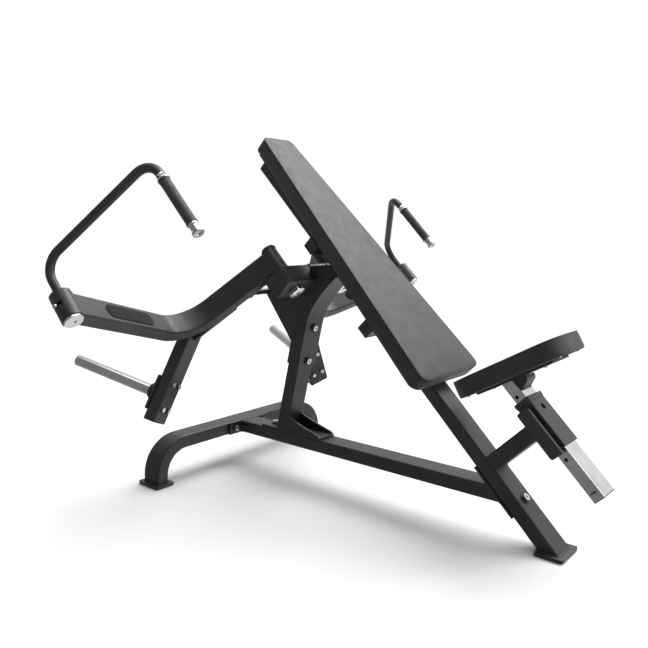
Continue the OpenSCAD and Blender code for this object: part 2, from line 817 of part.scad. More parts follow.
module seat_bracket() {
    color(frame_black) {
        seat_frame() translate([38, -70, -seat_plate_t])
            cube([300, 140, seat_plate_t]);
        // Gusset between the mounting plate and the front of the post
        difference() {
            rotate([90, 0, 0]) linear_extrude(gusset_w, center = true) polygon([
                for (p = [[0, 513], [8, 519], [34, 528], [41, 536], [44, 560], [0, 640]])
                    incline_to_xz([post_n + post_d + plate_gap + p[0], p[1]])]);
            above_seat_plate();
        }
    }
}

module seat_board() {
    color(rubber_black) seat_frame() translate([0, 0, 0.2])
        linear_extrude(board_t - 1.2) seat_outline(16);
}

module seat_pad() {
    // The cover wraps round the board, which lies in a recess from below
    color(pad_grey) seat_frame() difference() {
        linear_extrude(seat_thick) seat_outline(0);
        translate([0, 0, -1]) linear_extrude(board_t + 1) seat_outline(15.2);
    }
}

// ---------- seat release ----------

module release_plate() {
    color(frame_black) incline_frame() difference() {
        translate([pin_n - 17, -lever_in, (lever_low + lever_high) / 2]) rotate([90, 0, 0])
            linear_extrude(lever_t) translate([17, 0]) rounded(47, lever_high - lever_low, 9);
        for (s = [pin_low, pin_high]) translate([pin_n, -lever_in + 1, s]) rotate([90, 0, 0])
            cylinder(r = 5, h = 8);
    }
}

// The upper pin locks the post and stops just short of it here, pulled out; the lower pin
// only guides the plate
module release_pins() {
    color(chrome) incline_frame() for (s = [pin_low, pin_high])
        translate([pin_n, -post_w / 2 - 0.6, s]) rotate([90, 0, 0]) {
            cylinder(r = pin_r, h = lever_in - post_w / 2 - 0.6);
            cylinder(r = 5, h = lever_in - post_w / 2 + 6.4);
        }
}

// ---------- fasteners of the frame ----------

module at_frame_bolts() {
    // Rear flange, front flange, mast foot and head
    for (y = [-1, 1]) translate([rear_x + tube_w / 2 + plate, y * rear_bolt_y, beam_height])
        rotate([0, 90, 0]) children();
    incline_frame() for (s = front_bolts()) translate([0, 0, s]) rotate([0, 90, 0]) children();
    for (x = mast_bolt_x) translate([x, 0, beam_top + plate]) children();
    mast_frame() for (z = head_bolts)
        translate([head_skin + 0.03, 0, z]) rotate([0, 90, 0]) children();
}

module frame_bolts() {
    color(chrome) at_frame_bolts() {
        translate([0, 0, 3]) difference() {
            cylinder(r = 13, h = 9);
            translate([0, 0, 4]) cylinder(r = 6, h = 6, $fn = 6);
        }
        translate([0, 0, -17]) cylinder(r = 8, h = 21);
    }
}

module frame_washers() {
    color(frame_black) at_frame_bolts() washer(19, 8.2, 3);
}

// ---------- output ----------

main_beam();
beam_flanges();
rear_cross_tube();
foot_plates();
foot_pads();
incline_tube();
incline_cap();
mast();
mast_base();
mast_head();
pivot_crossbar();
stop_bar();
arm_buffers();
backrest_rails();
backrest_board();
backrest_pad();
frame_bolts();
frame_washers();
seat_support();
seat_carriage();
carriage_liner();
pivot_shaft("right");  // right_pivot_shaft
pivot_shaft("left");  // left_pivot_shaft
pivot_caps("right");  // right_pivot_caps
pivot_caps("left");  // left_pivot_caps
press_arm("right");  // right_press_arm
press_arm("left");  // left_press_arm
hub_bushes("right");  // right_hub_bushes
hub_bushes("left");  // left_hub_bushes
swivel_sleeve("right");  // right_swivel_sleeve
swivel_sleeve("left");  // left_swivel_sleeve
swivel_liners("right");  // right_swivel_liners
swivel_liners("left");  // left_swivel_liners
horn_mount("right");  // right_horn_mount
horn_mount("left");  // left_horn_mount
horn_stop("right");  // right_horn_stop
horn_stop("left");  // left_horn_stop
weight_horn("right");  // right_weight_horn
weight_horn("left");  // left_weight_horn
horn_plug("right");  // right_horn_plug
horn_plug("left");  // left_horn_plug
horn_bolts("right");  // right_horn_bolts
horn_bolts("left");  // left_horn_bolts
handle_bar("right");  // right_handle_bar
handle_bar("left");  // left_handle_bar
grip("right");  // right_grip
grip("left");  // left_grip
grip_cap("right");  // right_grip_cap
grip_cap("left");  // left_grip_cap
swivel_cap("right");  // right_swivel_cap
swivel_cap("left");  // left_swivel_cap
swivel_screw("right");  // right_swivel_screw
swivel_screw("left");  // left_swivel_screw
seat_post();
seat_post_plug();
seat_bracket();
seat_board();
seat_pad();
release_plate();
release_pins();
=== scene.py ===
"""Looks of the incline chest press: materials, upholstery, grips, welds and lights around its CAD frame."""

import json
import math

import bmesh
import bpy
from mathutils import Matrix, Vector, noise


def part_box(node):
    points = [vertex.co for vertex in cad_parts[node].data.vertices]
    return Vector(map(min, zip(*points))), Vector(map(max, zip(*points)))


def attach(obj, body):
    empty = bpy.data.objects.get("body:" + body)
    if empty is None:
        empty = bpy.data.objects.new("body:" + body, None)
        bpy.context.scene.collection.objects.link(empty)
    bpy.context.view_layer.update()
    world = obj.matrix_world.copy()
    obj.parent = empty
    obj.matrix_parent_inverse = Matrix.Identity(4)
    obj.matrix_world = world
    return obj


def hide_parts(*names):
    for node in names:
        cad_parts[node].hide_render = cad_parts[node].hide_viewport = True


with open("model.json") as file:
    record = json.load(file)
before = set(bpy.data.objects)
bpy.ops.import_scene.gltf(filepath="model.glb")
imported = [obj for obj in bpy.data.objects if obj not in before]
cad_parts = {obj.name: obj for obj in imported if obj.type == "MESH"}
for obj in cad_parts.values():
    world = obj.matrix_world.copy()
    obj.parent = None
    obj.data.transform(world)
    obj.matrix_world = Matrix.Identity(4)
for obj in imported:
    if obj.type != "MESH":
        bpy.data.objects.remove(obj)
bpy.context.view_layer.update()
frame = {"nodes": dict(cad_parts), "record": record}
record = frame["record"]
nodes = frame["nodes"]
scene = bpy.context.scene
joints = {j["name"]: j for j in record["behaviour"]["joints"]}
mounts = {m["name"]: m for m in record["mounts"]}

# ---------------------------------------------------------------- places, in metres

UP_INCLINE = Vector(joints["seat_slide"]["axis"])
OUT = Vector((UP_INCLINE.z, 0, -UP_INCLINE.x))  # out of the incline tube's front face
FRONT_FOOT_REACH = 0.045  # from the front foot's middle to the incline tube's front face at the floor
FRONT_X = mounts["front_foot"]["pos_m"][0] + FRONT_FOOT_REACH
TUBE_W, TUBE_T = 0.100, 0.055
WELD_OFF = 0.0002  # a bead's path stays this far off the tube's corner
FLOOR_PLATE_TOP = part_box("foot_plates")[1][2]
BEAM_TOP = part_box("main_beam")[1][2]
BEAM_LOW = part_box("main_beam")[0][2]
MAST_X = FRONT_X - 1.257  # the mast's front face at the beam's top
MAST_DEPTH = 0.060
MAST_LEAN = math.radians(14)
MAST_PLATE = 0.010
REAR_X = mounts["right_rear_foot"]["pos_m"][0]
FOOT_Y = mounts["left_rear_foot"]["pos_m"][1]
ARM_FALL = math.radians(21.9)  # tilt of the arms' outer stretches back from the incline's plane
CROSSBAR_N, CROSSBAR_S = -0.186, 1.414
SUPPORT_S = 0.386
# Each pair of backrest rails: height up the incline, half length, and the screws' distance from the middle
RAILS = {"lower": (1.035, 0.150, 0.125), "upper": (1.459, 0.120, 0.097)}
SIDES = {"right": -1, "left": 1}
ACROSS = Vector((0, 1, 0))
AHEAD = Vector((1, 0, 0))
UPWARD = Vector((0, 0, 1))


def incline(n, y, s):
    """A point given by its distance out of the incline tube's front face, sideways, and up the incline."""
    return Vector((FRONT_X, y, 0)) + OUT * n + UP_INCLINE * s


def frame_matrix(origin, x_axis, y_axis, z_axis):
    """The place of a local frame that is given by its origin and its three axes."""
    columns = Matrix((x_axis, y_axis, z_axis)).transposed().to_4x4()
    return Matrix.Translation(origin) @ columns



# ---------------------------------------------------------------- material helpers


class Surface:
    """A Principled material that is put together from procedural textures in object space."""

    def __init__(self, name, color, roughness, metallic=0.0):
        self.material = bpy.data.materials.new(name)
        self.material.use_nodes = True
        self.tree = self.material.node_tree
        self.shader = self.tree.nodes["Principled BSDF"]
        self.shader.inputs["Base Color"].default_value = (*color, 1)
        self.shader.inputs["Roughness"].default_value = roughness
        self.shader.inputs["Metallic"].default_value = metallic
        self.place = self.add("ShaderNodeTexCoord").outputs["Object"]
        self.bumped = None

    def add(self, kind, **settings):
        made = self.tree.nodes.new(kind)
        for key, value in settings.items():
            setattr(made, key, value)
        return made

    def link(self, source, target):
        self.tree.links.new(source, target)

    def stretched(self, scale):
        mapping = self.add("ShaderNodeMapping")
        mapping.inputs["Scale"].default_value = scale
        self.link(self.place, mapping.inputs["Vector"])
        return mapping.outputs["Vector"]

    def noise(self, scale, detail=3.0, roughness=0.55, place=None):
        made = self.add("ShaderNodeTexNoise")
        made.inputs["Scale"].default_value = scale
        made.inputs["Detail"].default_value = detail
        made.inputs["Roughness"].default_value = roughness
        self.link(place or self.place, made.inputs["Vector"])
        return made.outputs["Fac"]

    def cells(self, scale, feature):
        made = self.add("ShaderNodeTexVoronoi", feature=feature)
        made.inputs["Scale"].default_value = scale
        self.link(self.place, made.inputs["Vector"])
        return made.outputs["Distance"]

    def waves(self, scale, direction):
        made = self.add("ShaderNodeTexWave", bands_direction=direction)
        made.inputs["Scale"].default_value = scale
        made.inputs["Distortion"].default_value = 0.4
        self.link(self.place, made.inputs["Vector"])
        return made.outputs["Fac"]

    def ramp(self, source, low, high, start=0.3, end=0.7):
        made = self.add("ShaderNodeMapRange")
        made.inputs["From Min"].default_value = start
        made.inputs["From Max"].default_value = end
        made.inputs["To Min"].default_value = low
        made.inputs["To Max"].default_value = high
        self.link(source, made.inputs["Value"])
        return made.outputs["Result"]

    def math(self, operation, a, b):
        made = self.add("ShaderNodeMath", operation=operation)
        for socket, value in zip(made.inputs, (a, b)):
            if isinstance(value, (int, float)):
                socket.default_value = value
            else:
                self.link(value, socket)
        return made.outputs["Value"]

    def blend(self, factor, color_a, color_b):
        made = self.add("ShaderNodeMix", data_type="RGBA")
        made.inputs[6].default_value = (*color_a, 1)
        made.inputs[7].default_value = (*color_b, 1)
        self.link(factor, made.inputs[0])
        return made.outputs[2]

    def color(self, socket):
        self.link(socket, self.shader.inputs["Base Color"])

    def rough(self, socket):
        self.link(socket, self.shader.inputs["Roughness"])

    def bump(self, height, strength, distance):
        made = self.add("ShaderNodeBump")
        made.inputs["Strength"].default_value = strength
        made.inputs["Distance"].default_value = distance
        self.link(height, made.inputs["Height"])
        if self.bumped:
            self.link(self.bumped, made.inputs["Normal"])
        self.bumped = made.outputs["Normal"]
        self.link(self.bumped, self.shader.inputs["Normal"])

    def soft_edges(self, radius):
        """Rounds the shading of sharp corners."""
        made = self.add("ShaderNodeBevel", samples=4)
        made.inputs["Radius"].default_value = radius
        self.bumped = made.outputs["Normal"]
        self.link(self.bumped, self.shader.inputs["Normal"])

    def edge_mask(self, radius):
        """1 along sharp edges and 0 on flat faces."""
        bevel = self.add("ShaderNodeBevel", samples=4)
        bevel.inputs["Radius"].default_value = radius
        flat = self.add("ShaderNodeNewGeometry")
        dot = self.add("ShaderNodeVectorMath", operation="DOT_PRODUCT")
        self.link(bevel.outputs["Normal"], dot.inputs[0])
        self.link(flat.outputs["True Normal"], dot.inputs[1])
        return self.ramp(dot.outputs["Value"], 1.0, 0.0, 0.80, 0.99)


def powder_coat():
    """Satin black powder coat: orange peel, faint mottling and a painted highlight that lightens the sharp
    edges in patches.
    """
    coat = Surface("powder_coat", (0.03, 0.03, 0.031), 0.42)
    coat.soft_edges(0.0016)
    mottle = coat.noise(7, 5)
    # Painted highlight: the colour is lightened along all sharp edges, in patches, standing in for light
    # catching them
    edge_highlight = coat.math("MULTIPLY", coat.edge_mask(0.0022), coat.ramp(coat.noise(45, 5), 0.1, 0.9))
    mottle_and_edge_highlight = coat.math("ADD", coat.ramp(mottle, 0.0, 0.35), coat.math("MULTIPLY", edge_highlight, 0.65))
    coat.color(coat.blend(mottle_and_edge_highlight, (0.015, 0.0151, 0.0155), (0.050, 0.051, 0.053)))
    coat.rough(coat.ramp(coat.noise(60, 4), 0.32, 0.46))
    coat.bump(coat.noise(750, 2), 0.16, 0.0004)
    coat.bump(coat.noise(210, 2), 0.10, 0.0008)
    coat.shader.inputs["Specular IOR Level"].default_value = 0.55
    return coat.material


def chrome(name, roughness, streak_axis):
    """Bright plating with faint polishing streaks along one axis and soft smudges."""
    plated = Surface(name, (0.80, 0.81, 0.82), roughness, 1.0)
    stretch = [240.0, 240.0, 240.0]
    stretch[streak_axis] = 9.0
    streaks = plated.noise(1.0, 3, place=plated.stretched(stretch))
    smudges = plated.noise(14, 5)
    plated.rough(plated.math("ADD", plated.ramp(streaks, roughness * 0.6, roughness * 1.4),
                             plated.ramp(smudges, 0.0, 0.07)))
    plated.color(plated.blend(plated.ramp(smudges, 0, 1), (0.86, 0.865, 0.87), (0.70, 0.71, 0.73)))
    plated.bump(streaks, 0.05, 0.0002)
    return plated.material


def zinc():
    """Bright zinc of bolts and nuts, with fine turning marks."""
    plated = Surface("bright_zinc", (0.74, 0.75, 0.76), 0.24, 1.0)
    plated.soft_edges(0.0007)
    marks = plated.noise(420, 3)
    plated.rough(plated.ramp(marks, 0.16, 0.36))
    plated.color(plated.blend(plated.ramp(plated.noise(90, 4), 0, 1), (0.82, 0.83, 0.84),
                              (0.60, 0.60, 0.61)))
    plated.bump(marks, 0.12, 0.0002)
    return plated.material


def vinyl(name, dark, light):
    """Upholstery vinyl with a pebbled leather grain and soft stretch lines."""
    skin = Surface(name, dark, 0.5)
    pebbles = skin.cells(520, "SMOOTH_F1")
    creases = skin.cells(330, "DISTANCE_TO_EDGE")
    broad = skin.noise(5, 4)
    skin.color(skin.blend(skin.ramp(skin.math("ADD", broad, skin.math("MULTIPLY", pebbles, 0.25)),
                                    0, 1, 0.35, 0.95), dark, light))
    skin.rough(skin.ramp(skin.noise(26, 4), 0.47, 0.56))
    skin.bump(creases, 0.22, 0.0006)
    skin.bump(pebbles, 0.28, 0.0005)
    skin.bump(skin.noise(11, 3), 0.03, 0.004)
    skin.shader.inputs["Sheen Weight"].default_value = 0.12
    skin.shader.inputs["Sheen Roughness"].default_value = 0.45
    return skin.material


def rubber(name, color, roughness, grain):
    """Moulded rubber with a fine sandy skin and a dusty bloom."""
    moulded = Surface(name, color, roughness)
    moulded.soft_edges(0.0009)
    bloom = moulded.noise(18, 5)
    moulded.color(moulded.blend(moulded.ramp(bloom, 0, 1), color, tuple(c * 1.9 + 0.004 for c in color)))
    moulded.rough(moulded.ramp(moulded.noise(70, 3), roughness - 0.08, roughness + 0.08))
    moulded.bump(moulded.noise(grain, 3), 0.30, 0.0004)
    return moulded.material


def backing_cloth():
    """Black non-woven backing on the boards behind the cushions."""
    cloth = Surface("backing_cloth", (0.02, 0.02, 0.021), 0.85)
    weave = cloth.math("MULTIPLY", cloth.waves(260, "Y"), cloth.waves(260, "Z"))
    cloth.color(cloth.blend(weave, (0.014, 0.014, 0.015), (0.034, 0.034, 0.036)))
    cloth.bump(weave, 0.35, 0.0005)
    return cloth.material


def bronze():
    """Oiled bearing bronze with turning marks."""
    turned = Surface("bronze", (0.14, 0.10, 0.06), 0.38, 1.0)
    rings = turned.noise(300, 2)
    turned.color(turned.blend(turned.ramp(turned.noise(40, 4), 0, 1), (0.16, 0.115, 0.07),
                              (0.09, 0.065, 0.04)))
    turned.rough(turned.ramp(rings, 0.24, 0.42))
    turned.bump(rings, 0.10, 0.0002)
    return turned.material


def nylon():
    """Black moulded nylon with a dull skin."""
    moulded = Surface("nylon", (0.03, 0.03, 0.031), 0.5)
    moulded.color(moulded.blend(moulded.ramp(moulded.noise(25, 4), 0, 1), (0.036, 0.036, 0.037),
                                (0.022, 0.022, 0.023)))
    moulded.bump(moulded.noise(400, 2), 0.10, 0.0003)
    return moulded.material


def black_oxide():
    """Blackened steel of the washers."""
    dark = Surface("black_oxide", (0.022, 0.022, 0.023), 0.38, 0.6)
    dark.soft_edges(0.0008)
    dark.rough(dark.ramp(dark.noise(160, 4), 0.28, 0.5))
    dark.color(dark.blend(dark.ramp(dark.noise(60, 4), 0, 1), (0.018, 0.018, 0.019), (0.04, 0.04, 0.042)))
    dark.bump(dark.noise(500, 2), 0.12, 0.0003)
    return dark.material


def gloss_badge():
    """Black enamel of the blank badges."""
    enamel = Surface("badge_enamel", (0.003, 0.003, 0.003), 0.3)
    enamel.rough(enamel.ramp(enamel.noise(30, 4), 0.22, 0.36))
    enamel.color(enamel.blend(enamel.ramp(enamel.noise(9, 3), 0, 1), (0.002, 0.002, 0.002),
                              (0.005, 0.005, 0.005)))
    enamel.bump(enamel.noise(120, 2), 0.04, 0.0004)
    enamel.shader.inputs["Specular IOR Level"].default_value = 0.12
    return enamel.material


MATERIALS = {
    "frame_coat": powder_coat(),
    "chrome_plate": chrome("chrome", 0.09, 2),
    "zinc_fastener": zinc(),
    "washer_black": black_oxide(),
    "cushion_vinyl": vinyl("vinyl", (0.013, 0.0132, 0.0136), (0.023, 0.0233, 0.024)),
    "board_black": backing_cloth(),
    "rubber_black": rubber("rubber", (0.014, 0.014, 0.015), 0.66, 380),
    "grip_rubber": rubber("grip_rubber", (0.020, 0.020, 0.021), 0.58, 620),
    "bronze_bush": bronze(),
    "nylon_liner": nylon(),
}
PIPING = vinyl("piping_vinyl", (0.010, 0.010, 0.0105), (0.018, 0.018, 0.0185))
THREAD = rubber("seam_thread", (0.020, 0.020, 0.021), 0.7, 900)
BADGE = gloss_badge()


def coat_nodes():
    """Gives every CAD node the material of its slot."""
    for part in record["subparts"]:
        shown = nodes[part["node"]]
        shown.data.materials.clear()
        shown.data.materials.append(MATERIALS[part["material_slot"]])


def coat_upper_caps():
    """The upper cap of each pivot is coated black; only the lower one is bright."""
    for side in SIDES:
        caps = nodes[side + "_pivot_caps"]
        caps.data.materials.append(MATERIALS["frame_coat"])
        middle = Vector(joints[side + "_press"]["pos_m"])
        for face in caps.data.polygons:
            if (face.center - middle).dot(UP_INCLINE) > 0:
                face.material_index = 1


def blacken_washers():
    """The washers under the strut's bolt heads are black."""
    washer_reach, half_thickness = -0.2945, 0.0012
    for side in SIDES:
        bolts = nodes[side + "_horn_bolts"]
        bolts.data.materials.append(MATERIALS["washer_black"])
        horn = mounts[side + "_horn"]
        for face in bolts.data.polygons:
            reach = (face.center - Vector(horn["pos_m"])).dot(Vector(horn["axis"]))
            if abs(reach - washer_reach) < half_thickness:
                face.material_index = 1


# ---------------------------------------------------------------- mesh helpers


def finish_piece(bm, name, material, body, smooth=True):
    """Turns a bmesh in the row frame into a piece that rides on a body."""
    bmesh.ops.remove_doubles(bm, verts=bm.verts, dist=1e-6)
    bmesh.ops.recalc_face_normals(bm, faces=bm.faces)
    mesh = bpy.data.meshes.new(name)
    bm.to_mesh(mesh)
    bm.free()
    for face in mesh.polygons:
        face.use_smooth = smooth
    mesh.materials.append(material)
    made = bpy.data.objects.new(name, mesh)
    scene.collection.objects.link(made)
    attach(made, body)
    return made


def join_rings(bm, rings, closed_ends=True):
    """Skins a list of equal rings of vertices."""
    count = len(rings[0])
    for low, high in zip(rings, rings[1:]):
        for i in range(count):
            k = (i + 1) % count
            bm.faces.new((low[i], low[k], high[k], high[i]))
    if closed_ends:
        bm.faces.new(list(reversed(rings[0])))
        bm.faces.new(rings[-1])


def lathe(bm, profile, matrix, segments=48):
    """Turns a profile of (radius, height) about the matrix's Z axis."""
    rings = []
    for radius, height in profile:
        ring = []
        for i in range(segments):
            turn = 2 * math.pi * i / segments
            point = Vector((radius * math.cos(turn), radius * math.sin(turn), height))
            ring.append(bm.verts.new(matrix @ point))
        rings.append(ring)
    join_rings(bm, rings)


def tube_along(bm, points, radius, closed, sides=8, ripple=0.0, pitch=0.006):
    """A round bead along points; ripple swells it every pitch, as a weld's scales do."""
    rings = []
    count = len(points)
    travelled = 0.0
    up = None
    for i, point in enumerate(points):
        ahead = points[(i + 1) % count] if closed or i + 1 < count else point
        behind = points[i - 1] if closed or i > 0 else point
        along = (ahead - behind).normalized()
        if up is None:
            up = along.orthogonal().normalized()
        up = (up - along * up.dot(along)).normalized()
        side = along.cross(up)
        swell = radius * (1 + ripple * math.sin(2 * math.pi * travelled / pitch))
        rings.append([bm.verts.new(point + (up * math.cos(a) + side * math.sin(a)) * swell)
                      for a in (2 * math.pi * k / sides for k in range(sides))])
        travelled += (ahead - point).length
    join_rings(bm, rings, closed_ends=not closed)
    if closed:
        # The frame may have turned along the path, so the last ring meets the nearest first one
        first, last = rings[0], rings[-1]
        shift = min(range(sides), key=lambda j: (first[j].co - last[0].co).length)
        for i in range(sides):
            a, b = (i + shift) % sides, (i + 1 + shift) % sides
            bm.faces.new((last[i], last[(i + 1) % sides], first[b], first[a]))


def spaced(points, step, closed):
    """The same path with a point every step."""
    corners = points + [points[0]] if closed else points
    out = []
    for a, b in zip(corners, corners[1:]):
        pieces = max(1, round((b - a).length / step))
        out += [a.lerp(b, i / pieces) for i in range(pieces)]
    return out if closed else out + [corners[-1]]


def rounded_path(corners, radius, steps=5):
    """A closed path whose corners are rounded by arcs."""
    out = []
    count = len(corners)
    for i, corner in enumerate(corners):
        to_last = (corners[i - 1] - corner).normalized()
        to_next = (corners[(i + 1) % count] - corner).normalized()
        half = to_last.angle(to_next) / 2
        reach = radius / math.tan(half)
        start, end = corner + to_last * reach, corner + to_next * reach
        for k in range(steps + 1):
            t = k / steps
            out.append(start * (1 - t) ** 2 + corner * 2 * t * (1 - t) + end * t ** 2)
    return out


# ---------------------------------------------------------------- welds


WELD_STEP = 0.0016
WELD_RIPPLE = 0.16


def weld(name, body, corners, closed=True, radius=0.0032):
    """A painted fillet weld that runs round a joint."""
    bm = bmesh.new()
    path = rounded_path(corners, 0.006) if closed else corners
    tube_along(bm, spaced(path, WELD_STEP, closed), radius, closed, ripple=WELD_RIPPLE)
    finish_piece(bm, name, MATERIALS["frame_coat"], body)


def rectangle(centre, along_a, half_a, along_b, half_b):
    """The four corners of a rectangle."""
    return [centre + along_a * (half_a * i) + along_b * (half_b * j)
            for i, j in ((-1, -1), (1, -1), (1, 1), (-1, 1))]


def on_level(n, z):
    """The point of the incline frame at a distance n out and a height z, in the middle plane."""
    s = (z - n * OUT.z) / UP_INCLINE.z
    return incline(n, 0, s)


def frame_welds():
    edge = TUBE_W / 2 + WELD_OFF
    rail_n, rail_weld = -0.052, 0.026
    for side, sign in SIDES.items():
        for label, (s, _, _) in RAILS.items():
            weld(f"weld_rail_{label}_{side}", "frame",
                 [incline(rail_n, sign * edge, s + rail_weld), incline(rail_n, sign * edge, s - rail_weld)],
                 closed=False)
        weld(f"weld_leg_{side}", "frame",
             rectangle(Vector((REAR_X, sign * FOOT_Y, FLOOR_PLATE_TOP)), AHEAD, 0.0505, ACROSS, 0.028))
        weld(f"weld_crossbar_{side}", "frame",
             rectangle(incline(CROSSBAR_N, sign * 0.0545, CROSSBAR_S), OUT, 0.0545, UP_INCLINE, 0.0425))
        weld(f"weld_head_{side}", "frame",
             [incline(-TUBE_T - WELD_OFF, sign * TUBE_W / 2, s) for s in (1.330, 1.376)], closed=False)
    weld("weld_seat_support", "frame",
         rectangle(incline(0.0004, 0, SUPPORT_S), UP_INCLINE, 0.0295, ACROSS, 0.046))
    weld("weld_carriage", "frame",
         rectangle(incline(0.2140, 0, SUPPORT_S), UP_INCLINE, 0.0295, ACROSS, 0.0495), radius=0.0026)
    beam_end = Vector((REAR_X + 0.0605, 0, (BEAM_TOP + BEAM_LOW) / 2))
    weld("weld_beam_rear", "frame", rectangle(beam_end, ACROSS, edge, UPWARD, 0.0268), radius=0.0028)
    low, high = on_level(-0.0622, BEAM_LOW), on_level(-0.0622, BEAM_TOP)
    half = ACROSS * edge
    weld("weld_beam_front", "frame", [low - half, low + half, high + half, high - half])
    rear, fore = on_level(-TUBE_T, FLOOR_PLATE_TOP), on_level(0, FLOOR_PLATE_TOP)
    weld("weld_front_foot", "frame", [rear - half, rear + half, fore + half, fore - half])
    mast_front = MAST_X + MAST_PLATE * math.tan(MAST_LEAN)
    depth = MAST_DEPTH / math.cos(MAST_LEAN)
    mast_foot = Vector((mast_front - depth / 2, 0, BEAM_TOP + MAST_PLATE))
    weld("weld_mast", "frame", rectangle(mast_foot, AHEAD, depth / 2 + 0.0005, ACROSS, 0.0485))


def sleeve_matrix(side):
    """Frame of a swivel sleeve: Z up its axis, X towards the arm."""
    toward_arm = OUT * -math.sin(ARM_FALL) + Vector((0, -SIDES[side], 0)) * math.cos(ARM_FALL)
    place = Vector(joints[side + "_swivel"]["pos_m"])
    return frame_matrix(place, toward_arm, UP_INCLINE.cross(toward_arm), UP_INCLINE)


def sleeve_welds():
    radius, half_t, half_w = 0.0380, TUBE_T / 2, TUBE_W / 2
    spread = math.asin(half_t / radius)
    for side in SIDES:
        place = sleeve_matrix(side)
        path = []
        for end in (1, -1):
            for i in range(9):
                turn = end * (2 * spread * i / 8 - spread)
                path.append(place @ Vector((radius * math.cos(turn), radius * math.sin(turn), end * half_w)))
        bm = bmesh.new()
        tube_along(bm, spaced(path, WELD_STEP, True), 0.0027, True, ripple=WELD_RIPPLE)
        finish_piece(bm, f"weld_sleeve_{side}", MATERIALS["frame_coat"], side + "_arm")


# ---------------------------------------------------------------- upholstery


def half_outline(low, high, half_low, half_high, r_low, r_high, bulge, step):
    """Left half of a cushion's outline, evenly spaced from the middle of one end to the other."""
    corners = [Vector((low, 0)), Vector((low, half_low)), Vector((high, half_high)), Vector((high, 0))]
    path = [corners[0]]
    for i, radius in ((1, r_low), (2, r_high)):
        corner = corners[i]
        to_last = (corners[i - 1] - corner).normalized()
        to_next = (corners[i + 1] - corner).normalized()
        half = to_last.angle(to_next) / 2
        centre = corner + (to_last + to_next).normalized() * radius / math.sin(half)
        start = corner + to_last * radius / math.tan(half) - centre
        sweep = start.angle_signed(corner + to_next * radius / math.tan(half) - centre)
        path += [centre + Matrix.Rotation(-sweep * k / 16, 2) @ start for k in range(17)]
    path.append(corners[3])
    length = sum((b - a).length for a, b in zip(path, path[1:]))
    count = round(length / step)
    out, want, walked = [], 0.0, 0.0
    for a, b in zip(path, path[1:]):
        reach = (b - a).length
        while want <= walked + reach + 1e-9 and len(out) <= count:
            out.append(a.lerp(b, (want - walked) / reach))
            want += length / count
        walked += reach
    if len(out) <= count:
        out.append(corners[3].copy())
    for point in out:
        t = (point.x - low) / (high - low)
        if 0 < t < 1 and point.y > 0:
            edge = half_low + (half_high - half_low) * t
            point.y += bulge * math.sin(math.pi * t) * min(1.0, point.y / edge) ** 3
    return out


def whole_outline(half):
    """The half and its mirror image, as one closed outline."""
    return half + [Vector((p.x, -p.y)) for p in reversed(half[1:-1])]


def offset_outline(outline, inset):
    """The outline moved inwards by an inset."""
    count = len(outline)
    moved = []
    for i, point in enumerate(outline):
        along = (outline[(i + 1) % count] - outline[i - 1]).normalized()
        moved.append(point - Vector((-along.y, along.x)) * inset)
    return moved


def settle_cloth(obj, base_count, cap, frames=12):
    """Inflates a cushion with Blender's cloth solver, holds its base still and caps how far it moves."""
    rest = [v.co.copy() for v in obj.data.vertices]
    group = obj.vertex_groups.new(name="base")
    group.add(list(range(base_count)), 1.0, "REPLACE")
    cloth = obj.modifiers.new("Cloth", "CLOTH")
    settings = cloth.settings
    settings.use_pressure = True
    settings.uniform_pressure_force = 3.0
    settings.vertex_group_mass = "base"
    settings.effector_weights.gravity = 0
    settings.quality = 4
    settings.tension_stiffness = 25
    settings.compression_stiffness = 25
    settings.bending_stiffness = 2
    for number in range(1, frames + 1):
        scene.frame_set(number)
    solved = obj.evaluated_get(bpy.context.evaluated_depsgraph_get())
    places = [v.co.copy() for v in solved.data.vertices]
    obj.modifiers.remove(cloth)
    scene.frame_set(1)
    for vertex, start, end in zip(obj.data.vertices, rest, places):
        move = end - start
        if move.length > cap:
            move *= cap / move.length
        vertex.co = start + move


